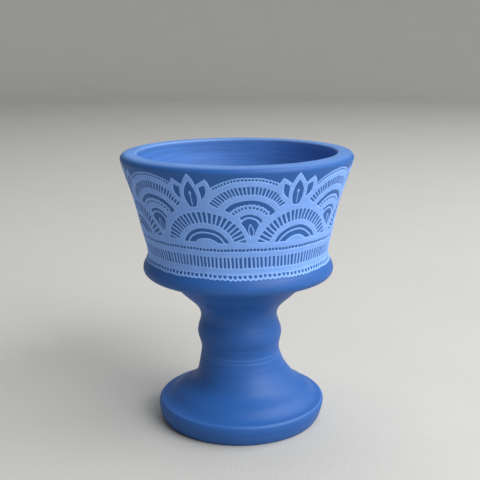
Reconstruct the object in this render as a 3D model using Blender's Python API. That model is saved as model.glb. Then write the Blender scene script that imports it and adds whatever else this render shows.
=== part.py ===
"""A wheel-thrown clay chalice: a flared cup on a knopped stem and a spreading foot, joined with slip.

Run it with: blender --background --python part.py
Units are metres, +Z is up, and the origin is the centre of the foot's resting face.
"""

import math

import bmesh
import bpy
import numpy as np

MM = 0.001
SEGMENTS = 48  # flat sides round every turned piece
GAP = 0.3  # clearance between touching pieces, in millimetres

# Driving dimensions, in millimetres.
RIM_RADIUS = 52.0
HEIGHT = 124.8
RIM_THICKNESS = 7.4
LIP_OUTER = 2.6  # radii of the lip's two rounded edges
LIP_INNER = 1.8
WALL = 5.7  # cup wall below the lip
RIDGE_RADIUS = 43.2  # the rounded shoulder round the bottom of the cup
RIDGE_Z = 72.4
CUP_WAIST_RADIUS = 40.7  # the hollow line just above the shoulder
CUP_WAIST_Z = 80.0
FLOOR_Z = 67.4  # lowest point inside the cup

SEAT_Z = 60.0  # flat under the cup that stands on the stem
SEAT_RADIUS = 24.9
SPIGOT_RADIUS = 8.9
SPIGOT_LENGTH = 5.0

NECK_RADIUS = 17.6
NECK_Z = 49.2
KNOP_RADIUS = 19.35
KNOP_Z = 41.4
STEM_BORE_RADIUS = 9.5
STEM_TOP_Z = 58.8
COIL_INNER_RADIUS = 17.4
COIL_BOTTOM_Z = 52.6

STEM_WAIST_RADIUS = 18.0  # where the stem stands on the foot
FOOT_TOP_Z = 33.3
STEM_SHOULDER_Z = 34.5
SOCKET_RADIUS = 13.6
SOCKET_DEPTH = 5.0
STEM_SPIGOT_LENGTH = 5.7

FOOT_RADIUS = 38.6
FOOT_EDGE_Z = 7.3  # height of the foot's widest line
FOOT_RING_INNER_RADIUS = 29.5
FOOT_RING_OUTER_RADIUS = 35.7

SLIP_THICKNESS = 0.6
LACE_THICKNESS = 0.35
LACE_BORDER_Z = (77.2, 90.2)
LACE_FRIEZE_Z = (90.5, 119.5)
LACE_ROWS = 5

# Colours as linear RGB.
BLUE_PAINT = (0.042, 0.130, 0.400, 1.0)
BARE_SLIP = (0.090, 0.190, 0.420, 1.0)
LACE_BLUE = (0.190, 0.350, 0.800, 1.0)


def clear_scene():
    for obj in list(bpy.data.objects):
        bpy.data.objects.remove(obj)


def matte(name, colour, roughness):
    material = bpy.data.materials.new(name)
    material.use_nodes = True
    shader = material.node_tree.nodes["Principled BSDF"]
    shader.inputs["Base Color"].default_value = colour
    shader.inputs["Roughness"].default_value = roughness
    shader.inputs["Metallic"].default_value = 0.0
    material.diffuse_color = colour
    return material


def smooth(points, steps=2):
    """A Catmull-Rom curve through (radius, height) points, with this many steps between each two."""
    knots = np.array([points[0], *points, points[-1]], float)
    t = np.linspace(0.0, 1.0, steps, endpoint=False)[:, None]
    curve = []
    for before, start, end, after in zip(knots, knots[1:], knots[2:], knots[3:]):
        a = 2 * start
        b = end - before
        c = 2 * before - 5 * start + 4 * end - after
        d = -before + 3 * start - 3 * end + after
        curve.extend(map(tuple, 0.5 * (a + b * t + c * t**2 + d * t**3)))
    curve.append(tuple(points[-1]))
    return curve


def arc(centre, radius, start, end, steps=4):
    """Points on a circle's arc in the radius-height plane, with its angles in degrees from outward."""
    angles = np.radians(np.linspace(start, end, steps + 1))
    return [(centre[0] + radius * math.cos(a), centre[1] + radius * math.sin(a)) for a in angles]


def turned(name, outline, material):
    """A closed body of revolution. The outline's (radius, height) points run round its section."""
    mesh = bmesh.new()
    verts = [mesh.verts.new((r * MM, 0.0, z * MM)) for r, z in outline]
    on_axis = outline[0][0] == 0.0 and outline[-1][0] == 0.0
    pairs = list(zip(verts, verts[1:]))
    if not on_axis:
        pairs.append((verts[-1], verts[0]))
    edges = [mesh.edges.new(pair) for pair in pairs]
    bmesh.ops.spin(
        mesh,
        geom=verts + edges,
        cent=(0, 0, 0),
        axis=(0, 0, 1),
        angle=math.tau,
        steps=SEGMENTS,
        use_duplicate=False,
    )
    bmesh.ops.remove_doubles(mesh, verts=mesh.verts, dist=1e-7)
    return finished(name, mesh, material)


def finished(name, mesh, material):
    bmesh.ops.recalc_face_normals(mesh, faces=mesh.faces)
    data = bpy.data.meshes.new(name)
    mesh.to_mesh(data)
    mesh.free()
    data.shade_smooth()
    data.set_sharp_from_angle(angle=math.radians(35))
    data.materials.append(material)
    obj = bpy.data.objects.new(name, data)
    bpy.context.scene.collection.objects.link(obj)
    return obj


def cup_wall():
    """The outside of the cup, from the seat under it, round the shoulder and up to the lip."""
    return smooth(
        [
            (SEAT_RADIUS, SEAT_Z),
            (28.8, 63.9),
            (31.6, 66.9),
            (35.8, 68.5),
            (39.6, 69.4),
            (42.2, 70.4),
            (RIDGE_RADIUS, RIDGE_Z),
            (42.4, 75.6),
            (CUP_WAIST_RADIUS, CUP_WAIST_Z),
            (41.3, 84.3),
            (42.8, 90.2),
            (46.2, 104.4),
            (50.1, 116.2),
            (RIM_RADIUS, HEIGHT - LIP_OUTER),
        ]
    )


def wall_radius(z):
    """The cup's outer radius at a height above its shoulder, in millimetres."""
    wall = [point for point in cup_wall() if point[1] >= RIDGE_Z]
    return float(np.interp(z, [point[1] for point in wall], [point[0] for point in wall]))


def make_cup(paint):
    inner_radius = RIM_RADIUS - RIM_THICKNESS
    spigot_z = SEAT_Z - SPIGOT_LENGTH
    spigot = [
        (0.0, spigot_z),
        (SPIGOT_RADIUS - 0.6, spigot_z),
        (SPIGOT_RADIUS, spigot_z + 0.6),
        (SPIGOT_RADIUS, SEAT_Z),
    ]
    lip = arc((RIM_RADIUS - LIP_OUTER, HEIGHT - LIP_OUTER), LIP_OUTER, 0, 90)[1:]
    lip += arc((inner_radius + LIP_INNER, HEIGHT - LIP_INNER), LIP_INNER, 90, 180)
    inside = smooth(
        [
            (inner_radius, HEIGHT - LIP_INNER - 0.6),
            (wall_radius(112.0) - WALL, 112.0),
            (wall_radius(97.0) - WALL, 97.0),
            (wall_radius(84.0) - WALL, 84.0),
            (33.8, 77.2),
            (27.5, 71.4),
            (15.0, FLOOR_Z + 0.7),
            (0.0, FLOOR_Z),
        ]
    )
    return turned("bowl", spigot + cup_wall() + lip + inside, paint)


def make_stem(paint):
    spigot_radius = SOCKET_RADIUS - GAP
    spigot_z = STEM_SHOULDER_Z - STEM_SPIGOT_LENGTH
    outside = smooth(
        [
            (STEM_WAIST_RADIUS, STEM_SHOULDER_Z),
            (18.7, 37.8),
            (KNOP_RADIUS, KNOP_Z),
            (18.7, 44.9),
            (NECK_RADIUS, NECK_Z),
            (COIL_INNER_RADIUS - GAP, COIL_BOTTOM_Z - GAP),
        ]
    )
    outline = [(STEM_BORE_RADIUS, spigot_z), (spigot_radius, spigot_z)]
    outline += [(spigot_radius, STEM_SHOULDER_Z), *outside]
    outline += [(COIL_INNER_RADIUS - GAP, STEM_TOP_Z), (STEM_BORE_RADIUS, STEM_TOP_Z)]
    return turned("stem", outline, paint)


def make_joint_coil(paint):
    """The coil of soft clay pressed round the stem's top and smoothed into a fillet under the cup."""
    sweep = smooth(
        [
            (COIL_INNER_RADIUS + 0.8, COIL_BOTTOM_Z),
            (19.2, 54.3),
            (21.2, 56.6),
            (23.6, STEM_TOP_Z),
        ]
    )
    outline = [(COIL_INNER_RADIUS, COIL_BOTTOM_Z), *sweep, (COIL_INNER_RADIUS, STEM_TOP_Z)]
    return turned("joint_coil", outline, paint)


def make_foot(paint):
    """The spreading foot, open underneath, with a resting ring below and a socket for the stem on top."""
    outside = smooth(
        [
            (FOOT_RING_OUTER_RADIUS + 0.7, 0.6),
            (38.2, 4.7),
            (FOOT_RADIUS, FOOT_EDGE_Z),
            (38.2, 9.1),
            (36.6, 9.9),
            (30.4, 13.9),
            (25.0, 17.1),
            (22.1, 21.0),
            (20.0, 25.3),
            (18.6, 29.8),
            (STEM_WAIST_RADIUS, FOOT_TOP_Z),
        ]
    )
    bore_radius = STEM_BORE_RADIUS + 0.5
    socket_floor_z = FOOT_TOP_Z - SOCKET_DEPTH
    hollow = smooth(
        [
            (bore_radius, socket_floor_z - 1.5),
            (11.6, 22.0),
            (15.5, 15.0),
            (22.0, 9.0),
            (27.5, 6.4),
            (FOOT_RING_INNER_RADIUS, 4.2),
        ]
    )
    outline = [(FOOT_RING_INNER_RADIUS, 0.0), (FOOT_RING_OUTER_RADIUS, 0.0), *outside]
    outline += [(SOCKET_RADIUS, FOOT_TOP_Z), (SOCKET_RADIUS, socket_floor_z)]
    outline += [(bore_radius, socket_floor_z), *hollow]
    return turned("foot", outline, paint)


def make_slip(name, bottom_z, inner_radius, outer_radius, slip):
    """A layer of joining slip: a flat washer between two scored faces."""
    top_z = bottom_z + SLIP_THICKNESS
    outline = [(inner_radius, bottom_z), (outer_radius, bottom_z)]
    outline += [(outer_radius, top_z), (inner_radius, top_z)]
    return turned(name, outline, slip)


def make_lace(name, low_z, high_z, lace):
    """A printed band: a thin sleeve that follows the cup's wall between two heights."""
    inner = [(wall_radius(z) + GAP, z) for z in np.linspace(low_z, high_z, LACE_ROWS)]
    outer = [(radius + LACE_THICKNESS, z) for radius, z in reversed(inner)]
    return turned(name, inner + outer, lace)


def main():
    clear_scene()
    paint = matte("blue_paint", BLUE_PAINT, 0.62)
    slip = matte("joining_slip", BARE_SLIP, 0.85)
    lace = matte("lace_print", LACE_BLUE, 0.7)

    make_cup(paint)
    make_joint_coil(paint)
    make_stem(paint)
    make_foot(paint)
    make_slip("cup_slip", STEM_TOP_Z + GAP, SPIGOT_RADIUS + GAP, SEAT_RADIUS - GAP, slip)
    make_slip("foot_slip", FOOT_TOP_Z + GAP, SOCKET_RADIUS, STEM_WAIST_RADIUS, slip)
    make_lace("lace_border", *LACE_BORDER_Z, lace)
    make_lace("lace_frieze", *LACE_FRIEZE_Z, lace)


main()
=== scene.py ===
"""A thrown clay chalice with a lace print round its cup: its fine surfaces, finishes and studio."""

import bpy
import numpy as np
from mathutils import Matrix, Vector


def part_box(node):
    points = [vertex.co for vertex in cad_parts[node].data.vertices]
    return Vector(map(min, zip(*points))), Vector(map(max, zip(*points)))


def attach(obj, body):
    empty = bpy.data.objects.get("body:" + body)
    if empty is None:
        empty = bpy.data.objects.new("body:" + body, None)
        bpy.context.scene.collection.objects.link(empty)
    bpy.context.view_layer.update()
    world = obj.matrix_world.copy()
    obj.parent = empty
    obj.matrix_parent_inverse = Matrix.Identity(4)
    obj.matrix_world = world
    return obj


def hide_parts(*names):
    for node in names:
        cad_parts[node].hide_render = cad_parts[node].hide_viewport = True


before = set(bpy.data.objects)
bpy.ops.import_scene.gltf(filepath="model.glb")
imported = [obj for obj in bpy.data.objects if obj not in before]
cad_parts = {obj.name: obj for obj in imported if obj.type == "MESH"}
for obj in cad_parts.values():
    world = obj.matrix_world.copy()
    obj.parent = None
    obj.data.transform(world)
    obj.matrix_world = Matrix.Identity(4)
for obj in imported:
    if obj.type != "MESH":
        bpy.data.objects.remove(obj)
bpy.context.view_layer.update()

bl_info = {
    "name": "Lace-printed chalice",
    "version": (1, 0, 0),
    "blender": (4, 5, 0),
    "location": "3D View > Sidebar > Chalice",
    "description": "Builds a turned clay chalice, its lace print and a small studio round it",
    "category": "Add Mesh",
}

# ---------------------------------------------------------------------------------------------
# Sizes. All lengths are in millimetres until a mesh is made.
# ---------------------------------------------------------------------------------------------

MM = 0.001


def node_box(node):
    """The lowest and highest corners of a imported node, in millimetres."""
    low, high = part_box(node)
    return np.array(low) / MM, np.array(high) / MM


RIM_RADIUS = node_box("bowl")[1][0]
HEIGHT = node_box("bowl")[1][2]
SPIGOT_Z = node_box("bowl")[0][2]
FOOT_RADIUS = node_box("foot")[1][0]
FOOT_TOP_Z = node_box("foot")[1][2]
KNOP_RADIUS = node_box("stem")[1][0]
STEM_LOW_Z = node_box("stem")[0][2]
COIL_LOW_Z = node_box("joint_coil")[0][2]
COIL_TOP_Z = node_box("joint_coil")[1][2]
LACE_LOW_Z = node_box("lace_border")[0][2]
LACE_PARTING_Z = (node_box("lace_border")[1][2] + node_box("lace_frieze")[0][2]) / 2

LIP_OUTER = 2.6  # radii of the lip's two rounded edges
LIP_INNER = 0.9
SPIGOT_RADIUS = 8.9
STEM_BORE_RADIUS = 9.5
SOCKET_RADIUS = 13.6
SOCKET_FLOOR_Z = FOOT_TOP_Z - 5.0
FOOT_RING = (29.5, 35.7)  # inner and outer radius of the resting ring
FLOOR_Z = 67.4  # lowest point inside the cup
STEM_RING_Z = (30.7, 32.4)  # two fine rings on the stem's lower waist
GAP = 0.3  # between a piece and the slip on it
COIL_BORE_RADIUS = 17.3  # of the stem's top, which the coil is pressed round


def outer_points():
    """The chalice's outside from the resting ring to the lip, as (radius, height)."""
    lower = [
        (FOOT_RING[1] + 0.35, 0.12),
        (FOOT_RING[1] + 1.0, 0.9),
        (FOOT_RADIUS - 0.4, 4.6),
        (FOOT_RADIUS, 7.2),
        (FOOT_RADIUS - 0.15, 8.7),
        (FOOT_RADIUS - 0.8, 9.55),
        (FOOT_RADIUS - 2.1, 9.95),
        (FOOT_RADIUS - 4.6, 11.0),
        (30.4, 13.9),
        (25.2, 17.1),
        (22.1, 21.0),
        (20.0, 25.3),
        (18.6, 30.0),
        (18.0, 34.0),
    ]
    middle = [
        (KNOP_RADIUS - 0.7, 37.8),
        (KNOP_RADIUS, 41.4),
        (KNOP_RADIUS - 0.65, 44.9),
        (17.6, 48.8),
        (17.8, 51.4),
        (19.2, 54.3),
        (21.6, 57.0),
        (25.2, 60.3),
        (28.6, 63.7),
        (31.6, 66.6),
    ]
    cup = [
        (35.6, 68.4),
        (39.6, 69.35),
        (42.1, 70.4),
        (43.2, 72.4),
        (42.4, 75.6),
        (40.85, 79.2),
        (40.85, 81.6),
        (41.5, 84.9),
        (42.8, 90.2),
        (46.2, 104.4),
        (50.1, 116.2),
        (RIM_RADIUS - 0.02, HEIGHT - LIP_OUTER),
    ]
    return lower + middle + cup


def spline(points, step):
    """A natural cubic spline through the points, by chord length, read every step along it."""
    p = np.asarray(points, float)
    s = np.concatenate([[0.0], np.cumsum(np.hypot(*np.diff(p, axis=0).T))])
    h = np.diff(s)
    rows = np.eye(len(p))
    rows[range(1, len(p) - 1), range(0, len(p) - 2)] = h[:-1]
    rows[range(1, len(p) - 1), range(2, len(p))] = h[1:]
    rows[range(1, len(p) - 1), range(1, len(p) - 1)] = 2 * (h[:-1] + h[1:])
    slopes = np.diff(p, axis=0) / h[:, None]
    right = np.zeros_like(p)
    right[1:-1] = 6 * np.diff(slopes, axis=0)
    bend = np.linalg.solve(rows, right)
    t = np.linspace(0.0, s[-1], int(np.ceil(s[-1] / step)) + 1)
    k = np.clip(np.searchsorted(s, t, side="right") - 1, 0, len(p) - 2)
    after, before, length = (t - s[k])[:, None], (s[k + 1] - t)[:, None], h[k][:, None]
    curve = (bend[k] * before**3 + bend[k + 1] * after**3) / (6 * length)
    curve += (p[k] / length - bend[k] * length / 6) * before
    curve += (p[k + 1] / length - bend[k + 1] * length / 6) * after
    return curve


def arc(centre, radius, start, end, steps):
    """Points on a circle's arc in the radius-height plane, angles in degrees from outward."""
    angle = np.radians(np.linspace(start, end, steps + 1))[:, None]
    return np.array(centre) + radius * np.hstack([np.cos(angle), np.sin(angle)])


OUTSIDE = spline(outer_points(), 0.05)
SHOULDER_Z = 80.0
LIP_TIP = (0.0065, -0.012)  # the lip's rise over its run to the right and to the back
LIP_LIFT = 0.5  # how much the lip stands up from its mean level, all round
SLUMP = spline(  # (height, how far that level lies to the right of the foot's centre)
    [
        (SPIGOT_Z - 60, 0.0),
        (9.0, 0.0),
        (18.5, 1.4),
        (26.0, 0.1),
        (34.0, -0.6),
        (41.4, -0.9),
        (55.0, -1.4),
        (72.4, -1.55),
        (80.0, -1.72),
        (91.0, -2.05),
        (104.0, -2.2),
        (HEIGHT + 1, -2.1),
    ],
    0.5,
)


def outside(low_z, high_z, step=0.4):
    """The stretch of the outside between two heights, both ends included."""
    inside = (OUTSIDE[:, 1] >= low_z) & (OUTSIDE[:, 1] <= high_z)
    stretch = OUTSIDE[inside]
    length = np.concatenate([[0.0], np.cumsum(np.hypot(*np.diff(stretch, axis=0).T))])
    along = np.linspace(0.0, length[-1], int(np.ceil(length[-1] / step)) + 1)
    return np.stack([np.interp(along, length, column) for column in stretch.T], axis=1)


def wall_radius(z):
    """The cup's outer radius at any height above its shoulder."""
    wall = OUTSIDE[np.argmax(OUTSIDE[:, 1] > 72.4) :]
    return np.interp(z, wall[:, 1], wall[:, 0])


# ---------------------------------------------------------------------------------------------
# Settings that a user would change
# ---------------------------------------------------------------------------------------------


def length_prop(name, description, default):
    return bpy.props.FloatProperty(
        name=name, description=description, default=default, unit="LENGTH", precision=5
    )


def colour_prop(name, description, default):
    return bpy.props.FloatVectorProperty(
        name=name, description=description, default=default, size=3, subtype="COLOR", min=0, max=1
    )


class ChaliceClay(bpy.types.PropertyGroup):
    """The thrown clay's surface."""

    ring_depth: length_prop("Throwing rings", "Depth of the finger rings", 0.00005)
    wobble: length_prop("Wobble", "How far the walls stray from a true circle", 0.00012)
    cup_wall: length_prop("Cup wall", "Thickness of the cup's wall below the lip", 0.0057)
    rim_thickness: length_prop("Rim", "Thickness of the lip", 0.0074)
    around: bpy.props.IntProperty(
        name="Segments", description="Flat sides round each turned piece", default=240, min=32
    )
    paint: colour_prop("Paint", "The matte blue paint", (0.023, 0.109, 0.378))
    # painted light: this lighter paint inside the cup stands for the brighter light and sheen falling
    # there
    inner: colour_prop("Inner paint", "The thinner paint inside the cup", (0.060, 0.178, 0.50))
    # partly painted highlight: this paler paint stands for wear and for highlights on the edges, the
    # stem's rings and the lip's top
    bare: colour_prop("Worn paint", "The paint where handling has polished it", (0.115, 0.24, 0.54))
    clay: colour_prop("Clay", "Bare clay on the resting ring", (0.42, 0.33, 0.24))


class ChaliceLace(bpy.types.PropertyGroup):
    """The lace print."""

    repeats: bpy.props.IntProperty(
        name="Repeats", description="Fans round the cup", default=7, min=3, max=16
    )
    cell: length_prop("Cell", "Grid on which the print is worked out", 0.0002)
    thickness: length_prop("Thickness", "How far the print stands proud", 0.00014)
    turn: bpy.props.FloatProperty(
        name="Turn", description="Where the front fan is centred", default=0.095, subtype="ANGLE"
    )
    colour: colour_prop("Print", "The pale blue of the print", (0.19, 0.375, 0.86))
    worn: colour_prop("Worn print", "The print where it is thin", (0.13, 0.28, 0.66))
    thread: colour_prop("Thread", "The print along its edges, where it is thick", (0.31, 0.52, 0.95))


class ChaliceStudio(bpy.types.PropertyGroup):
    """The floor and the light."""

    floor: colour_prop("Floor", "The pale floor", (0.48, 0.48, 0.47))
    key: bpy.props.FloatProperty(
        name="Key light", description="Power of the window light", default=46.0, min=0, unit="POWER"
    )
    sky: bpy.props.FloatProperty(
        name="Room light", description="Strength of the light from all round", default=0.19, min=0
    )


def settings():
    scene = bpy.context.scene
    return scene.chalice_clay, scene.chalice_lace, scene.chalice_studio


# ---------------------------------------------------------------------------------------------
# Meshes
# ---------------------------------------------------------------------------------------------


def relief(radius, z, angle, depth, wobble):
    """How far the outside strays from its true circle.

    Finger rings are a sum of three sine waves that climb by one or two pitches in each turn, and
    the wobble is two slow waves round the axis that change with height.
    """
    rings = (
        np.sin(z / 0.52 - angle)
        + 0.8 * np.sin(z / 0.41 + 2 * angle + 1.3 * np.sin(z / 9))
        + 0.7 * np.sin(z / 1.1 - angle + 0.8)
    )
    slow = np.sin(2 * angle + z / 31) + 0.6 * np.sin(3 * angle - z / 17 + 1.1)
    return depth * rings / 3 + wobble * slow * np.clip(radius / 40, 0, 1)


SHARP_ANGLE = np.radians(40)  # edges that bend more than this stay crisp


def near_lip(z):
    """0 below the shoulder, easing to 1 at the lip."""
    ease = np.clip((z - SHOULDER_Z) / (HEIGHT - SHOULDER_Z), 0, 1)
    return ease * ease * (3 - 2 * ease)


def settled(points):
    """How the pieces slumped as they were joined, wet, and fired.

    Each level moves sideways by a smooth curve of its height. The lip lifts and tips: above the
    shoulder every point rises by a plane over x and y that eases in towards the lip.
    """
    x, y, z = points.T
    rise = near_lip(z) * (LIP_LIFT + LIP_TIP[0] * x + LIP_TIP[1] * y)
    return np.stack([x + np.interp(z, SLUMP[:, 0], SLUMP[:, 1]), y, z + rise], axis=1)


def keep(mesh, name, values):
    """Keeps one number for each point of a mesh, for its finish to read."""
    attribute = mesh.attributes.new(name, "FLOAT", "POINT")
    attribute.data.foreach_set("value", values.astype(np.float32))


def new_piece(name, points, faces, materials, hidden=None):
    """A mesh object at the origin from arrays of points in millimetres and of faces.

    Faces whose number is in hidden take the second material.
    """
    mesh = bpy.data.meshes.new(name)
    mesh.from_pydata((settled(points) * MM).astype(np.float32), [], faces)
    keep(mesh, "radius", np.hypot(points[:, 0], points[:, 1]))
    keep(mesh, "level", points[:, 2])
    for material in materials:
        mesh.materials.append(material)
    if hidden is not None:
        mesh.polygons.foreach_set("material_index", np.asarray(hidden, np.int32))
    mesh.shade_smooth()
    mesh.set_sharp_from_angle(angle=SHARP_ANGLE)
    obj = bpy.data.objects.new(name, mesh)
    bpy.context.scene.collection.objects.link(obj)
    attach(obj, "root")
    return obj


def turned(name, outline, materials):
    """A closed surface of revolution.

    Its two parameters are the place along the outline and the angle: x = (r + d) cos a,
    y = (r + d) sin a, z = the outline's height, where d is the relief times the outline's third
    column. An outline that ends on the axis closes with one point there; any other runs on to
    its own start. Faces between points that take no relief are the hidden ones.
    """
    clay = settings()[0]
    count = clay.around
    angle = np.arange(count) * (2 * np.pi / count)
    r, z, share = (column[:, None] for column in np.asarray(outline, float).T)
    radius = r + share * relief(r, z, angle, clay.ring_depth / MM, clay.wobble / MM)
    grid = np.stack([radius * np.cos(angle), radius * np.sin(angle), z + 0 * angle], axis=-1)
    on_axis = outline[0][0] == 0.0
    rows = grid[1:-1] if on_axis else grid
    bare = (share[1:-1] if on_axis else share)[:, 0] == 0
    points = rows.reshape(-1, 3)
    index = np.arange(len(rows) * count).reshape(len(rows), count)
    low = index[:-1] if on_axis else index
    high = index[1:] if on_axis else np.roll(index, -1, axis=0)
    hidden = bare & np.roll(bare, -1)
    hidden = np.repeat(hidden[:-1] if on_axis else hidden, count)
    quads = np.stack([low, np.roll(low, -1, axis=1), np.roll(high, -1, axis=1), high], axis=-1)
    faces = quads.reshape(-1, 4).tolist()
    if on_axis:
        first = len(points)
        points = np.vstack([points, [0, 0, outline[0][1]], [0, 0, outline[-1][1]]])
        edge = index[0]
        faces += np.stack([np.full(count, first), np.roll(edge, -1), edge], axis=-1).tolist()
        edge = index[-1]
        faces += np.stack([np.full(count, first + 1), edge, np.roll(edge, -1)], axis=-1).tolist()
        ends = np.repeat([bare[0], bare[-1]], count)
        hidden = np.concatenate([hidden, ends])
    return new_piece(name, points, faces, materials, hidden)


def shared(points, share):
    """Outline points with the share of the relief that they take."""
    points = np.asarray(points, float)
    return np.hstack([points, np.full((len(points), 1), share)])


# ---------------------------------------------------------------------------------------------
# The four clay pieces and the slip between them. Their outsides are stretches of one outline.
# ---------------------------------------------------------------------------------------------

SLIP = 0.6  # thickness of the layers of slip
CUP_SEAT_Z = COIL_TOP_Z + GAP + SLIP
STEM_SEAT_Z = FOOT_TOP_Z + GAP + SLIP


def cup_outline(clay):
    """The cup from the spigot's foot up its outside, over the lip and down to its floor."""
    wall, rim = clay.cup_wall / MM, clay.rim_thickness / MM
    spigot = [
        (0.0, SPIGOT_Z),
        (4.5, SPIGOT_Z),
        (SPIGOT_RADIUS - 0.6, SPIGOT_Z),
        (SPIGOT_RADIUS, SPIGOT_Z + 0.6),
        (SPIGOT_RADIUS, CUP_SEAT_Z),
    ]
    skin = outside(CUP_SEAT_Z, HEIGHT, 0.5)
    lip = arc((RIM_RADIUS - LIP_OUTER, HEIGHT - LIP_OUTER), LIP_OUTER, 0, 90, 14)[1:]
    inner = RIM_RADIUS - rim
    lip_inside = arc((inner + LIP_INNER, HEIGHT - LIP_INNER), LIP_INNER, 90, 165, 10)
    hollow = spline(
        [
            lip_inside[-1],
            (wall_radius(117.0) - wall - 0.75, 117.0),
            (wall_radius(108.0) - wall, 108.0),
            (wall_radius(97.0) - wall, 97.0),
            (wall_radius(84.0) - wall, 84.0),
            (33.8, 77.2),
            (27.5, 71.4),
            (15.0, FLOOR_Z + 0.7),
            (0.0, FLOOR_Z),
        ],
        0.8,
    )[1:]
    parts = [
        shared(spigot, 0.0),
        shared(skin, 1.0),
        shared(lip, 1.0),
        shared(lip_inside, 1.0),
        shared(hollow, 1.0),
    ]
    outline = np.vstack(parts)
    outline[:, 2] *= np.clip(outline[:, 0] / 12, 0, 1)
    return outline


def foot_outline():
    """The foot from its resting ring up the outside, over the socket and down its hollow."""
    skin = outside(0.0, FOOT_TOP_Z + GAP)
    bore = STEM_BORE_RADIUS + 0.5
    hollow = spline(
        [
            (bore, SOCKET_FLOOR_Z - 1.2),
            (11.6, 22.0),
            (15.5, 15.0),
            (22.0, 9.0),
            (27.3, 6.2),
            (FOOT_RING[0] - 0.3, 3.6),
            (FOOT_RING[0], 0.6),
            (FOOT_RING[0] + 0.6, 0.0),
        ],
        0.5,
    )
    socket = [
        (SOCKET_RADIUS, FOOT_TOP_Z + GAP),
        (SOCKET_RADIUS, SOCKET_FLOOR_Z),
        (bore, SOCKET_FLOOR_Z),
    ]
    ring = [(FOOT_RING[0] + 3.0, 0.0), (FOOT_RING[1] - 0.4, 0.0)]
    return np.vstack([shared(ring, 0), shared(skin, 1), shared(socket, 0), shared(hollow, 0.6)])


def stem_outline():
    """The stem from its spigot up the outside to the seat, and down its bore."""
    spigot = SOCKET_RADIUS - GAP
    top_z = COIL_TOP_Z + GAP
    skin = outside(STEM_SEAT_Z, COIL_LOW_Z)
    inside = [(spigot, STEM_LOW_Z), (spigot, STEM_SEAT_Z)]
    top = [(COIL_BORE_RADIUS, COIL_LOW_Z), (COIL_BORE_RADIUS, top_z), (STEM_BORE_RADIUS, top_z)]
    steps = 40
    bore = np.stack([np.full(steps, STEM_BORE_RADIUS), np.linspace(top_z, STEM_LOW_Z, steps)], 1)[1:]
    return np.vstack([shared(inside, 0), shared(skin, 1), shared(top, 0), shared(bore, 0)])


def coil_outline():
    """The coil from the stem's neck up the fillet to the cup's seat."""
    top_z = COIL_TOP_Z + GAP
    bore = COIL_BORE_RADIUS + 0.02
    skin = outside(COIL_LOW_Z, top_z)
    return np.vstack([shared(skin, 1), shared([(bore, top_z), (bore, COIL_LOW_Z)], 0)])


def slip_outline(low_z, high_z, inner_radius):
    """A washer of slip whose rim lies in the chalice's outline."""
    skin = outside(low_z, high_z, 0.2)
    return np.vstack([shared(skin, 1), shared([(inner_radius, high_z), (inner_radius, low_z)], 0)])


# ---------------------------------------------------------------------------------------------
# The lace print. Its pattern is drawn flat, x round the cup and y up the wall, by signed
# distances: a shape is where its function is below zero. Heights turn into y through up().
# ---------------------------------------------------------------------------------------------

PRINT_RADIUS = 46.0  # the flat millimetres are measured round this radius
WALL_LEAN = 1.03  # the wall leans out, so a step in height covers this much more of it
PARTING_Z = LACE_PARTING_Z + 0.95  # between the border's and the frieze's meshes
PRINT_LOW_Z = LACE_LOW_Z - 0.6  # the meshes' lowest and highest rows, clear of the pattern
PRINT_HIGH_Z = HEIGHT - 0.6
LADDER_Z = (82.25, 87.2)
DOTTED_Z = (89.75, 91.0)
LOOP_Z = 78.5
LADDER_BARS, LOOPS, DOTS = 22, 18, 25  # in each repeat
LOWER_FAN_Z, UPPER_FAN_Z = 88.6, 100.2  # centres of the fans' circles
LOWER_FAN_EDGE, UPPER_FAN_EDGE = 21.0, 20.9
EYE_TIP_Z, PETAL_TIP_Z, FLOWER_ROOT_Z = 120.0, 123.1, 109.2
LEAF_TIP_Z, LEAF_LENGTH = 102.2, 6.6
LOOP_RADIUS, LADDER_HALF_WIDTH, DOT_HALF_WIDTH = 1.45, 0.5, 0.64
UPPER_CLEARANCE = 21.9  # the upper fan's holes keep this far from the lower fans' centres
ARCH_CLEARANCE = 22.3  # and its innermost arch this far
FRIEZE_LEAN = 0.07  # degrees round the cup for each millimetre of height
FLOWER_SHIFT, LOWER_FAN_SHIFT = -1.2, 1.3  # how far they lie from midway between the upper fans


def up(z):
    """Height on the chalice to the flat pattern's y."""
    return WALL_LEAN * z


def join(*shapes):
    """The union of shapes."""
    return np.minimum.reduce(shapes)


def both(*shapes):
    """The overlap of shapes."""
    return np.maximum.reduce(shapes)


def ring(distance, inner, outer):
    """What lies between two circles, from the distance to their centre."""
    return both(inner - distance, distance - outer)


def repeated(x, pitch):
    """x measured from the nearest multiple of pitch."""
    return (x / pitch - np.round(x / pitch)) * pitch


def rounded_box(x, y, half_width, half_height, corner):
    """A box round the origin with round corners."""
    dx = np.maximum(np.abs(x) - half_width + corner, 0)
    dy = np.maximum(np.abs(y) - half_height + corner, 0)
    return np.hypot(dx, dy) - corner


def polygon(x, y, corners):
    """A convex polygon: the greatest of the distances from its sides, corners anticlockwise."""
    sides = []
    for (ax, az), (bx, bz) in zip(corners, corners[1:] + corners[:1]):
        dx, dy = bx - ax, up(bz - az)
        sides.append(((x - ax) * dy - (y - up(az)) * dx) / np.hypot(dx, dy))
    return both(*sides)


def spindle(x, t, length, terms):
    """What lies nearer to x = 0 than a half-width that is a polynomial of t down the length."""
    width = np.polynomial.polynomial.polyval(t, terms)
    slope = np.polynomial.polynomial.polyval(t, np.polynomial.polynomial.polyder(terms)) / length
    return (np.abs(x) - width) / np.hypot(1.0, slope)


def round_angle(x, y, first, last, count):
    """Distance round a centre from the nearest of count rays between two angles in degrees."""
    pitch = (last - first) / (count - 1)
    angle = np.degrees(np.arctan2(y, x))
    step = np.clip(np.round((angle - first) / pitch), 0, count - 1)
    return np.radians(angle - first - step * pitch) * np.hypot(x, y), np.radians(pitch)


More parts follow.
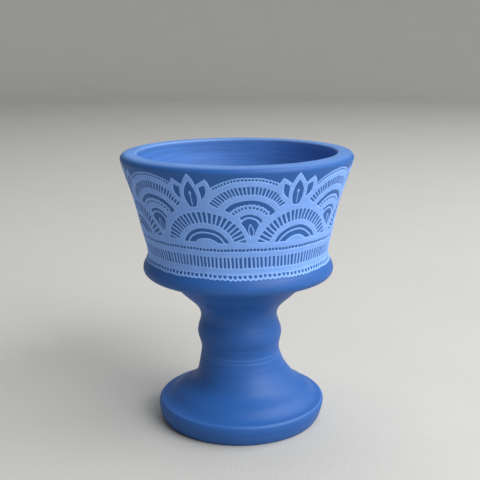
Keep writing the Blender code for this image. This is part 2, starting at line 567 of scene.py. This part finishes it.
def bars(x, y, first, last, count, inner, outer, thread):
    """Wedges between threads of one width that run out from the centre."""
    radius = np.hypot(x, y)
    off, pitch = round_angle(x, y, first, last, count)
    return both(np.abs(off) - (pitch * radius - thread) / 2, ring(radius, inner, outer))


def beads(x, y, first, last, count, radius, size, stretch=1.0):
    """Dots along an arc, round or stretched away from its centre."""
    off, _ = round_angle(x, y, first, last, count)
    return np.hypot(off, (np.hypot(x, y) - radius) / stretch) - size


def border_pattern(x, y, width):
    """The border: a looped edge, a ladder of bars and a dotted line, repeated round the cup."""
    loop_x = repeated(x, width / LOOPS)
    loops = np.hypot(loop_x, y - up(LOOP_Z)) - LOOP_RADIUS
    holes = rounded_box(loop_x, y - up(LOOP_Z), 0.76 + 0.25 * (y - up(LOOP_Z)), 0.72, 0.45)
    ladder = rounded_box(
        repeated(x, width / LADDER_BARS),
        y - up(sum(LADDER_Z) / 2),
        LADDER_HALF_WIDTH,
        up(LADDER_Z[1] - LADDER_Z[0]) / 2,
        0.22,
    )
    dots = rounded_box(
        repeated(x + width / DOTS / 2, width / DOTS),
        y - up(sum(DOTTED_Z) / 2),
        DOT_HALF_WIDTH,
        up(DOTTED_Z[1] - DOTTED_Z[0]) / 2,
        0.3,
    )
    cloth = join(loops, up(LOOP_Z + 0.75) - y)
    return both(cloth, -holes, -ladder, -dots)


def upper_fan(x, y, near):
    """The cloth and the holes of the fan that stands in the middle of a repeat."""
    y = y - up(UPPER_FAN_Z)
    radius = np.hypot(x, y)
    clear = UPPER_CLEARANCE - near
    cloth = join(radius - UPPER_FAN_EDGE, beads(x, y, 45.0, 135.0, 28, 21.5, 1.0))
    picots = beads(x, y, 45.0, 135.0, 28, 21.5, 0.5)
    rays = both(bars(x, y, 37.75, 142.25, 23, 15.2, 18.6, 0.5), clear)
    pearls = beads(x, y, 43.5, 136.5, 11, 9.25, 0.5, stretch=1.25)
    crescent = both(ring(radius, 10.0, 12.6), 0.75 - pearls, clear)
    arch = both(ring(radius, 5.0, 6.2), ARCH_CLEARANCE - near)
    z = y / WALL_LEAN + UPPER_FAN_Z
    side = np.abs(x - LOWER_FAN_SHIFT * np.clip((UPPER_FAN_Z + 4 - z) / 8, 0, 1))
    wedge = both((side - 0.35 - 0.56 * (z - 95.8)) / 1.15, radius - 4.2)
    leaf = spindle(side, (LEAF_TIP_Z - z) / LEAF_LENGTH, up(LEAF_LENGTH), (0, 5.0, -5.0))
    wedge = both(wedge, -both(leaf, -0.45 - leaf))
    return cloth, join(picots, rays, both(pearls, clear), crescent, arch, wedge)


def lower_fan(x, y):
    """The cloth and the holes of the fans that stand in front, half a repeat to each side."""
    floor = up(93.55) - y
    y = y - up(LOWER_FAN_Z)
    radius = np.hypot(x, y)
    rays = both(bars(x, y, 19, 161, 22, 14.1, 18.9, 0.72), floor + up(0.35))
    arches = both(join(ring(radius, 10.2, 11.7), ring(radius, 7.3, 9.5)), floor)
    return radius - LOWER_FAN_EDGE, join(rays, arches)


def flower(x, y):
    """The cloth and the holes of the flower above each lower fan."""
    root = up(FLOWER_ROOT_Z) - y
    eye_length, petal_length = up(EYE_TIP_Z - FLOWER_ROOT_Z), up(PETAL_TIP_Z - FLOWER_ROOT_Z)
    eye = spindle(x, (up(EYE_TIP_Z) - y) / eye_length, eye_length, (0, 8.8, -7.6))
    petal = spindle(x, (up(PETAL_TIP_Z) - y) / petal_length, petal_length, (0, 12.25, -10.45, 1.11))
    pin = rounded_box(x, y - up(112.3), 0.19, up(2.6), 0.18)
    head = np.hypot(x / 0.85, (y - up(115.1)) / 1.2) - 0.62
    side = np.abs(x)
    round_side = np.hypot(side - 1.5, y - up(116.6))
    below_tip = [(0, 105.0), (9.0, 105.0), (9.0, 122.7), (7.0, 121.4), (3.0, 118.4), (0, 116.2)]
    side_petal = both(round_side - 6.9, polygon(side, y, below_tip))
    below_edge = [(4.0, 105.0), (9.0, 105.0), (9.0, 120.0), (6.3, 118.6), (4.0, 117.5)]
    side_eye = both(round_side - 5.1, polygon(side, y, below_edge), 0.35 - petal)
    cloth = join(both(petal, root - 1.5), side_petal)
    return cloth, join(both(eye, root, -join(pin, head)), side_eye)


def frieze_pattern(x, y, width):
    """The frieze: an upper fan at x = 0, with a lower fan and a flower near each end.

    The cloth is filled in round each flower's root, so that no gap is left between the fans.
    """
    at_flower = repeated(x - width / 2 - FLOWER_SHIFT, width)
    at_fan = repeated(x - width / 2 - LOWER_FAN_SHIFT, width)
    near = np.hypot(at_fan, y - up(LOWER_FAN_Z))
    flower_cloth, flower_holes = flower(at_flower, y)
    fan_cloth, fan_holes = lower_fan(at_fan, y)
    cloth, holes = upper_fan(x, y, near)
    holes = join(both(holes, 0.25 - flower_cloth), fan_holes, flower_holes)
    filled = rounded_box(at_flower, y - up(FLOWER_ROOT_Z - 1.2), 6.5, 3.6, 0.5)
    return both(join(cloth, fan_cloth, flower_cloth, filled), -holes)


def skin_radius(z):
    """The cup's outer radius at any height above its shoulder, over the lip's round edge too."""
    edge_z = HEIGHT - LIP_OUTER
    drop = np.clip(z - edge_z, 0, LIP_OUTER)
    edge = RIM_RADIUS - LIP_OUTER + np.sqrt(LIP_OUTER**2 - drop**2)
    return np.where(z > edge_z, edge, wall_radius(z))


def on_cup(x, y, lift):
    """Points of the flat pattern laid on the cup's wall, lift above it.

    The frieze leans a little, by a slope in degrees to each millimetre of height above the
    border, and slow waves make the print look laid by hand.
    """
    clay, lace, _ = settings()
    z = y / WALL_LEAN
    lean = np.radians(FRIEZE_LEAN * (118 - np.maximum(z, PARTING_Z)))
    turn = x / PRINT_RADIUS + lace.turn + lean
    sway = 0.10 * np.sin(23 * turn + z / 5) + 0.06 * np.sin(59 * turn - z / 3)
    sway = sway + 0.45 * np.sin(4 * turn - 0.164 * z + 18.83)
    bob = 0.12 * np.sin(9 * turn + z / 7) + 0.07 * np.sin(31 * turn - z / 4)
    turn = turn + sway / PRINT_RADIUS
    angle = turn - np.pi / 2
    z = z + bob - near_lip(z) * (LIP_LIFT + LIP_TIP[1] * PRINT_RADIUS * np.sin(angle))
    radius = skin_radius(z)
    radius = radius + relief(radius, z, angle, clay.ring_depth / MM, clay.wobble / MM) + lift
    return np.stack([radius * np.cos(angle), radius * np.sin(angle), z], axis=-1)


RAMP_WIDTH, EDGE_SHARE = 0.3, 0.35  # how the shell thickens inward from its edges
THREAD_WIDTH = 0.55  # how far in the thread's colour reaches
UNDERSIDE_LIFT = -0.03  # the shell's underside lies this far under the clay's skin


def lace_faces(distance, cell):
    """The cells and half cells of a grid that lie inside the pattern, as rows of point numbers.

    A point within half a cell of the pattern's edge counts as on it. A cell is kept if no corner
    is outside, and the half of it away from its one outside corner if there is just one.
    """
    index = np.arange(distance.size).reshape(distance.shape)
    corners = np.stack([index[:-1, :-1], index[:-1, 1:], index[1:, 1:], index[1:, :-1]], axis=-1)
    corners = corners.reshape(-1, 4)
    depth = distance.ravel()[corners]
    outside_corners = depth > cell / 2
    cells = corners[(outside_corners.sum(axis=1) == 0) & (depth.mean(axis=1) < 0)]
    one = outside_corners.sum(axis=1) == 1
    at = np.argmax(outside_corners[one], axis=1)[:, None]
    order = (at + np.array([1, 2, 3])) % 4
    halves = np.take_along_axis(corners[one], order, axis=1)
    inner = np.take_along_axis(depth[one], order, axis=1).mean(axis=1) < 0
    return cells, halves[inner]


def lace_patch(name, pattern, stretch, repeat, material):
    """One repeat of the print over a stretch of heights, a thin closed shell on the cup's wall.

    The pattern's distance is worked out on a grid with one spare column at each end, points near
    its edge slide down the slope onto the edge, and the shell's thickness grows from a third at
    the edge to the whole 0.3 mm in. How near a point is to the edge is kept as an attribute.
    """
    lace = settings()[1]
    cell, thickness = lace.cell / MM, lace.thickness / MM
    low_z, high_z = stretch
    width = 2 * np.pi * PRINT_RADIUS / lace.repeats
    count = int(round(width / cell))
    columns = np.arange(-1, count + 2) * (width / count) - width / 2
    rows = np.linspace(up(low_z), up(high_z), int(round(up(high_z - low_z) / cell)) + 1)
    x, y = np.meshgrid(columns, rows)
    distance = pattern(x, y, width)
    slope_y, slope_x = np.gradient(distance, rows, columns)
    x, y, distance, slope_x, slope_y = (a[:, 1:-1] for a in (x, y, distance, slope_x, slope_y))
    steepness = np.maximum(np.hypot(slope_x, slope_y), 0.3)
    distance = distance / steepness
    slide = np.where(np.abs(distance) <= cell / 2, distance, 0) / steepness
    x, y = x - slide * slope_x, y - slide * slope_y
    cells, halves = lace_faces(distance, cell)
    ramp = np.clip(-distance / RAMP_WIDTH, 0, 1)
    lift = thickness * (EDGE_SHARE + (1 - EDGE_SHARE) * ramp * ramp * (3 - 2 * ramp))
    x = x + repeat * width
    sheets = on_cup(x, y, lift), on_cup(x, y, UNDERSIDE_LIFT)
    points = np.concatenate([sheet.reshape(-1, 3) for sheet in sheets])
    count = distance.size  # from a point of the top to the same point underneath
    edges = [np.stack([f, np.roll(f, -1, axis=1)], -1).reshape(-1, 2) for f in (cells, halves)]
    edges = np.concatenate(edges)
    lone = ~np.isin(edges[:, 0] * count + edges[:, 1], edges[:, 1] * count + edges[:, 0])
    a, b = edges[lone].T
    walls = np.stack([a, a + count, b + count, b], axis=-1)
    faces = [cells, halves, cells[:, ::-1] + count, halves[:, ::-1] + count, walls]
    used, packed = np.unique(np.concatenate([f.ravel() for f in faces]), return_inverse=True)
    ends = np.cumsum([f.size for f in faces])[:-1]
    faces = [part.reshape(f.shape).tolist() for part, f in zip(np.split(packed, ends), faces)]
    patch = new_piece(name, points[used], sum(faces, []), [material])
    nearness = np.clip(1 + distance.ravel() / THREAD_WIDTH, 0, 1)
    keep(patch.data, "thread", np.tile(nearness, 2)[used])
    return patch


# ---------------------------------------------------------------------------------------------
# Finishes
# ---------------------------------------------------------------------------------------------


class Signal:
    """An output socket in a finish; arithmetic on it adds Math nodes."""

    def __init__(self, finish, socket):
        self.finish, self.socket = finish, socket

    def maths(self, operation, *terms):
        settings_first = {"operation": operation}
        return self.finish.node("ShaderNodeMath", settings_first, dict(enumerate(terms)))

    def __add__(self, other):
        return self.maths("ADD", self, other)

    def __sub__(self, other):
        return self.maths("SUBTRACT", self, other)

    def __rsub__(self, other):
        return self.maths("SUBTRACT", other, self)

    def __mul__(self, other):
        return self.maths("MULTIPLY", self, other)

    def __truediv__(self, other):
        return self.maths("DIVIDE", self, other)

    __radd__, __rmul__ = __add__, __mul__

    def size(self):
        return self.maths("ABSOLUTE", self)

    def least(self, other):
        return self.maths("MINIMUM", self, other)

    def clipped(self):
        return self.maths("MAXIMUM", self, 0.0).least(1.0)


class Finish:
    """A material whose nodes are added one by one."""

    def __init__(self, name):
        self.material = bpy.data.materials.new(name)
        self.material.use_nodes = True
        self.tree = self.material.node_tree
        self.tree.nodes.clear()

    def node(self, kind, settings_first=None, inputs=None, output=0):
        """Adds a node: its settings first, then the values or links of its sockets."""
        node = self.tree.nodes.new(kind)
        for key, value in (settings_first or {}).items():
            if key == "stops":
                self.set_stops(node.color_ramp, value)
            else:
                setattr(node, key, value)
        for key, value in (inputs or {}).items():
            if isinstance(value, Signal):
                self.tree.links.new(value.socket, node.inputs[key])
            else:
                node.inputs[key].default_value = value
        return Signal(self, node.outputs[output])

    @staticmethod
    def set_stops(ramp, stops):
        """Puts (position, grey) stops on a ramp that starts with two."""
        for place, (position, grey) in enumerate(stops):
            stop = ramp.elements[place] if place < 2 else ramp.elements.new(position)
            stop.position, stop.color = position, (grey, grey, grey, 1.0)

    def place(self, scale=(1, 1, 1)):
        """Object coordinates in millimetres, stretched by scale."""
        here = self.node("ShaderNodeTexCoord", output="Object")
        stretched = tuple(side / MM for side in scale)
        return self.node("ShaderNodeMapping", inputs={"Vector": here, "Scale": stretched})

    def noise(self, size, scale=(1, 1, 1), detail=2.0, rough=0.5):
        """Noise from 0 to 1 whose blotches are about size millimetres."""
        inputs = {"Vector": self.place(scale), "Scale": 1 / size, "Detail": detail, "Roughness": rough}
        return self.node("ShaderNodeTexNoise", inputs=inputs)

    def ramp(self, value, stops):
        return self.node("ShaderNodeValToRGB", {"stops": stops}, {"Fac": value})

    def kept(self, name):
        """A number kept on the mesh's points."""
        return self.node("ShaderNodeAttribute", {"attribute_name": name}, output="Fac")

    def blend(self, first, second, share):
        """From one colour to another by share."""
        ends = [end if isinstance(end, Signal) else (*end, 1.0) for end in (first, second)]
        inputs = {0: share, 6: ends[0], 7: ends[1]}
        return self.node("ShaderNodeMix", {"data_type": "RGBA"}, inputs, output=2)

    def shaded(self, colour, share):
        """A colour times a grey, which may be above one."""
        grey = self.node("ShaderNodeCombineXYZ", inputs={0: share, 1: share, 2: share})
        mode = {"data_type": "RGBA", "blend_type": "MULTIPLY"}
        return self.node("ShaderNodeMix", mode, {0: 1.0, 6: colour, 7: grey}, output=2)

    def surface(self, colour, roughness, height, depth, specular=0.5):
        """Ends the finish with a Principled shader and a bump as deep as depth millimetres."""
        bump = self.node("ShaderNodeBump", inputs={"Height": height, "Distance": depth * MM})
        inputs = {
            "Base Color": colour,
            "Roughness": roughness,
            "Normal": bump,
            "Specular IOR Level": specular,
        }
        shader = self.node("ShaderNodeBsdfPrincipled", inputs=inputs)
        output = self.tree.nodes.new("ShaderNodeOutputMaterial")
        self.tree.links.new(shader.socket, output.inputs["Surface"])
        return self.material


def band(value, centre, half_width):
    """1 where the value is at the centre, falling to 0 at half_width to either side."""
    return (1 - (value - centre).size() / half_width).clipped()


WALL_MIDDLE = (38.4, 0.262)  # a cone in the thick of the cup's wall: radius at the shoulder, slope
FLOOR_MIDDLE = (30.0, 0.9)  # and one under its floor: radius at the floor's height, slope


def paint_finish():
    """Matte blue paint brushed on the turning piece: level brush marks, soft clouds, fine grain.

    It is paler along the rings that stand proud, the foot's edge and the lip: partly worn paint,
    partly painted highlight. The lip's top carries a painted highlight, and the lighter paint inside
    the cup is painted light for the brighter light falling there.
    """
    clay = settings()[0]
    finish = Finish("blue paint")
    radius, z = finish.kept("radius"), finish.kept("level")
    clouds = finish.noise(16.0, detail=3.0)
    brush = finish.noise(1.0, scale=(0.035, 0.035, 1.1), detail=3.0, rough=0.6)
    grain = finish.noise(0.45, detail=2.0)
    pores = finish.noise(1.7, detail=1.0)
    # paler paint on the foot's edge, the lip's inner edge and the stem's two rings: partly wear,
    # partly painted highlight where edges and rings catch the light
    foot_edge = band(radius, FOOT_RADIUS - 0.9, 0.7) * band(z, 9.6, 1.2)
    lip_edge = band(radius, RIM_RADIUS - 7.0, 0.8) * band(z, HEIGHT - 0.3, 0.9)
    stem_rings = band(z, STEM_RING_Z[0], 0.45) + band(z, STEM_RING_Z[1], 0.45)
    stem_rings = stem_rings * (radius - 15).clipped()
    wear_and_highlight = (foot_edge * 0.3 + lip_edge * 0.8 + stem_rings * 0.3) * (0.5 + clouds)
    wall_middle = (z - SHOULDER_Z) * WALL_MIDDLE[1] + WALL_MIDDLE[0]
    middle = wall_middle.least((z - FLOOR_Z) * FLOOR_MIDDLE[1] + FLOOR_MIDDLE[0])
    inside = ((middle - radius) * 0.7).clipped() * ((z - FLOOR_Z) * 2 + 2).clipped()
    # painted highlight: the lip's top is made paler where light falls on it
    lip_top_highlight = (z - HEIGHT + 1.8).clipped() * (RIM_RADIUS - 0.5 - radius).clipped()
    strokes = finish.noise(1.0, scale=(0.02, 0.02, 0.9), detail=4.0, rough=0.7)
    shade = 0.76 + clouds * 0.16 + brush * 0.15 + grain * 0.08
    shade = shade + inside * (strokes - 0.5) * 1.1
    # painted light: the inside takes a lighter paint that stands for the brighter light and sheen
    # inside the cup
    colour = finish.blend(clay.paint, clay.inner, inside)
    colour = finish.blend(colour, clay.bare, (wear_and_highlight + lip_top_highlight * 0.6).clipped())
    colour = finish.shaded(colour, shade)
    roughness = 0.40 + clouds * 0.10 + grain * 0.08 - wear_and_highlight * 0.06
    height = brush * 0.4 + grain * 0.3 + finish.ramp(pores, [(0.28, 0.0), (0.40, 1.0)]) * 0.35
    return finish.surface(colour, roughness, height, 0.05, specular=0.28)


def clay_finish():
    """Bare fired clay on the resting ring and in the joints, sandy and a little stained."""
    clay = settings()[0]
    finish = Finish("bare clay")
    sand = finish.noise(0.6, detail=3.0)
    stain = finish.noise(7.0, detail=2.0)
    specks = finish.ramp(finish.noise(0.9, detail=1.0), [(0.30, 0.55), (0.36, 1.0)])
    shade = (0.82 + sand * 0.2 + stain * 0.16) * specks
    colour = finish.shaded((*clay.clay, 1.0), shade)
    return finish.surface(colour, 0.78 + sand * 0.14, sand, 0.12, specular=0.3)


def print_finish():
    """The lace print: flat pale blue, thin in places, with the print's fine mesh in it."""
    lace = settings()[1]
    finish = Finish("lace print")
    patches = finish.noise(5.0, detail=3.0)
    mesh = finish.noise(0.5, scale=(1.0, 1.0, 1.3), detail=2.0, rough=0.6)
    thin = finish.ramp(patches * 0.6 + mesh * 0.4, [(0.36, 1.0), (0.56, 0.0)])
    edge = finish.kept("thread")
    colour = finish.blend(lace.colour, lace.worn, thin * 0.35)
    colour = finish.blend(colour, lace.thread, edge * 0.75)
    colour = finish.shaded(colour, 0.90 + mesh * 0.2)
    return finish.surface(colour, 0.50 + mesh * 0.16, mesh, 0.06, specular=0.32)


def floor_finish():
    """The studio's floor: pale, even and slightly mottled."""
    finish = Finish("studio floor")
    mottle = finish.noise(60.0, detail=3.0)
    tooth = finish.noise(1.2, detail=2.0)
    colour = finish.shaded((*bpy.context.scene.chalice_studio.floor, 1.0), 0.96 + mottle * 0.06)
    return finish.surface(colour, 0.62 + tooth * 0.12, tooth, 0.15, specular=0.25)


def made_finish(name, maker):
    """The finish of that name, made the first time it is asked for."""
    return bpy.data.materials.get(name) or maker()


def clay_finishes():
    return [made_finish("blue paint", paint_finish), made_finish("bare clay", clay_finish)]


# ---------------------------------------------------------------------------------------------
# Operators
# ---------------------------------------------------------------------------------------------


class ChaliceOperator(bpy.types.Operator):
    """What the chalice's operators share."""

    bl_options = {"REGISTER", "UNDO"}

    def execute(self, context):
        self.make(context)
        return {"FINISHED"}


class CHALICE_OT_cup(ChaliceOperator):
    """Turns the cup with its lip, rolled shoulder and spigot"""

    bl_idname = "chalice.cup"
    bl_label = "Cup"

    def make(self, context):
        cup = turned("cup", cup_outline(context.scene.chalice_clay), clay_finishes())
        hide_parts("bowl")


class CHALICE_OT_coil(ChaliceOperator):
    """Turns the coil of clay that is smoothed into the fillet under the cup"""

    bl_idname = "chalice.coil"
    bl_label = "Joint coil"

    def make(self, context):
        coil = turned("fillet_coil", coil_outline(), clay_finishes())
        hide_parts("joint_coil")


class CHALICE_OT_stem(ChaliceOperator):
    """Turns the hollow stem with its neck and knop"""

    bl_idname = "chalice.stem"
    bl_label = "Stem"

    def make(self, context):
        stem = turned("turned_stem", stem_outline(), clay_finishes())
        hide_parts("stem")


class CHALICE_OT_foot(ChaliceOperator):
    """Turns the spreading foot, hollow underneath"""

    bl_idname = "chalice.foot"
    bl_label = "Foot"

    def make(self, context):
        foot = turned("turned_foot", foot_outline(), clay_finishes())
        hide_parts("foot")


class CHALICE_OT_slips(ChaliceOperator):
    """Turns the two layers of slip in the joints"""

    bl_idname = "chalice.slips"
    bl_label = "Slip"

    def make(self, context):
        joints = {
            "cup_slip": (CUP_SEAT_Z, SPIGOT_RADIUS + GAP),
            "foot_slip": (STEM_SEAT_Z, SOCKET_RADIUS),
        }
        for node, (high_z, bore) in joints.items():
            outline = slip_outline(high_z - SLIP, high_z, bore)
            slip = turned(node + "_ring", outline, clay_finishes())
            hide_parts(node)


class CHALICE_OT_lace(ChaliceOperator):
    """Lays the lace print round the cup, one repeat after another"""

    bl_idname = "chalice.lace"
    bl_label = "Lace print"

    def make(self, context):
        finish = made_finish("lace print", print_finish)
        for repeat in range(context.scene.chalice_lace.repeats):
            number = f"_{repeat + 1}"
            stretch = (PRINT_LOW_Z, PARTING_Z)
            border = lace_patch("border" + number, border_pattern, stretch, repeat, finish)
            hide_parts("lace_border")
            stretch = (PARTING_Z, PRINT_HIGH_Z)
            frieze = lace_patch("frieze" + number, frieze_pattern, stretch, repeat, finish)
            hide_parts("lace_frieze")


LENS, SENSOR, SHIFT = 67.5, 36.0, -0.0034  # the camera's, in mm and in frame widths
EYE_DISTANCE = 7.662 * RIM_RADIUS  # from the chalice's axis to the camera, and its height
EYE_HEIGHT = 3.5115 * RIM_RADIUS
LOOK_DOWN = 13.854  # degrees
WINDOWS = {  # degrees round from the front and up, then metres away, wide and high, then power
    "front window": (50, 40, 1.7, 1.3, 1.1, 0.75),
    "side window": (104, 42, 1.6, 1.0, 1.0, 0.28),
    "roof window": (180, 72, 1.6, 1.2, 1.2, 0.22),
}
FLOOR_FLAT, FLOOR_SWEEP = 1700.0, 600.0  # the flat floor's radius, and its turned-up edge's


class CHALICE_OT_studio(ChaliceOperator):
    """Sets a pale floor with a turned-up edge, a window light, room light and a camera"""

    bl_idname = "chalice.studio"
    bl_label = "Studio"

    def make(self, context):
        studio = context.scene.chalice_studio
        self.floor()
        self.light(studio)
        self.camera(context)
        context.scene.view_settings.view_transform = "Standard"

    @staticmethod
    def floor():
        """A disc whose edge turns up through a quarter arc, over angle and distance outward."""
        sweep = arc((FLOOR_FLAT, FLOOR_SWEEP), FLOOR_SWEEP, -90, -10, 16)
        outline = np.vstack([[(r, 0.0) for r in (30.0, 120.0, 400.0, 900.0)], sweep])
        angle = np.linspace(0, 2 * np.pi, 96, endpoint=False)
        r, z = (column[:, None] for column in outline.T)
        grid = np.stack([r * np.cos(angle), r * np.sin(angle), z + 0 * angle], axis=-1)
        points = np.vstack([grid.reshape(-1, 3), [0, 0, 0]])
        index = np.arange(len(points) - 1).reshape(len(outline), -1)
        low, high = index[:-1], index[1:]
        quads = np.stack([low, high, np.roll(high, -1, axis=1), np.roll(low, -1, axis=1)], axis=-1)
        hub = np.full(len(angle), len(points) - 1)
        fan = np.stack([hub, index[0], np.roll(index[0], -1)], axis=-1)
        mesh = bpy.data.meshes.new("studio_floor")
        mesh.from_pydata(points * MM, [], quads.reshape(-1, 4).tolist() + fan.tolist())
        mesh.shade_smooth()
        mesh.materials.append(made_finish("studio floor", floor_finish))
        floor = bpy.data.objects.new("studio_floor", mesh)
        bpy.context.scene.collection.objects.link(floor)

    @staticmethod
    def light(studio):
        """Three soft windows, the brightest to the right and in front, and light all round."""
        for name, (side, rise, distance, width, height, share) in WINDOWS.items():
            window = bpy.data.lights.new(name, "AREA")
            window.shape, window.size, window.size_y = "RECTANGLE", width, height
            window.energy, window.color = studio.key * share, (1.0, 0.985, 0.96)
            lamp = bpy.data.objects.new(name, window)
            side, rise = np.radians(side), np.radians(rise)
            level = np.cos(rise)
            away = Vector((level * np.sin(side), -level * np.cos(side), np.sin(rise)))
            lamp.location = Vector((0, 0, HEIGHT * MM / 2)) + away * distance
            lamp.rotation_euler = away.to_track_quat("Z", "Y").to_euler()
            bpy.context.scene.collection.objects.link(lamp)
        world = bpy.data.worlds.new("room")
        world.use_nodes = True
        background = world.node_tree.nodes["Background"]
        background.inputs["Color"].default_value = (0.93, 0.97, 1.0, 1.0)
        background.inputs["Strength"].default_value = studio.sky
        bpy.context.scene.world = world

    @staticmethod
    def camera(context):
        """The camera looks along +Y and a little down."""
        eye = bpy.data.cameras.new("camera")
        eye.lens, eye.sensor_width, eye.shift_x = LENS, SENSOR, SHIFT
        eye.clip_start, eye.clip_end = 0.01, 20.0
        camera = bpy.data.objects.new("camera", eye)
        place = Matrix.Translation((0, -EYE_DISTANCE * MM, EYE_HEIGHT * MM))
        tip = Matrix.Rotation(np.radians(90 - LOOK_DOWN), 4, "X")
        camera.matrix_world = place @ tip
        context.scene.collection.objects.link(camera)
        context.scene.camera = camera


class CHALICE_PT_panel(bpy.types.Panel):
    """Lists the chalice's settings and the buttons that build it"""

    bl_label = "Chalice"
    bl_space_type = "VIEW_3D"
    bl_region_type = "UI"
    bl_category = "Chalice"

    def draw(self, context):
        for group in SETTINGS:
            box = self.layout.box()
            owner = getattr(context.scene, group)
            for name in owner.bl_rna.properties.keys():
                if name not in ("rna_type", "name"):
                    box.prop(owner, name)
        for operator in OPERATORS:
            self.layout.operator(operator.bl_idname)


SETTINGS = {
    "chalice_clay": ChaliceClay,
    "chalice_lace": ChaliceLace,
    "chalice_studio": ChaliceStudio,
}
OPERATORS = (
    CHALICE_OT_cup,
    CHALICE_OT_coil,
    CHALICE_OT_stem,
    CHALICE_OT_foot,
    CHALICE_OT_slips,
    CHALICE_OT_lace,
    CHALICE_OT_studio,
)


def register():
    for group in SETTINGS.values():
        bpy.utils.register_class(group)
    for name, group in SETTINGS.items():
        setattr(bpy.types.Scene, name, bpy.props.PointerProperty(type=group))
    for operator in OPERATORS:
        bpy.utils.register_class(operator)
    bpy.utils.register_class(CHALICE_PT_panel)


def unregister():
    bpy.utils.unregister_class(CHALICE_PT_panel)
    for operator in reversed(OPERATORS):
        bpy.utils.unregister_class(operator)
    for name, group in SETTINGS.items():
        delattr(bpy.types.Scene, name)
        bpy.utils.unregister_class(group)


def main():
    register()
    bpy.ops.chalice.cup()
    bpy.ops.chalice.coil()
    bpy.ops.chalice.stem()
    bpy.ops.chalice.foot()
    bpy.ops.chalice.slips()
    bpy.ops.chalice.lace()
    bpy.ops.chalice.studio()


if __name__ == "__main__":
    main()
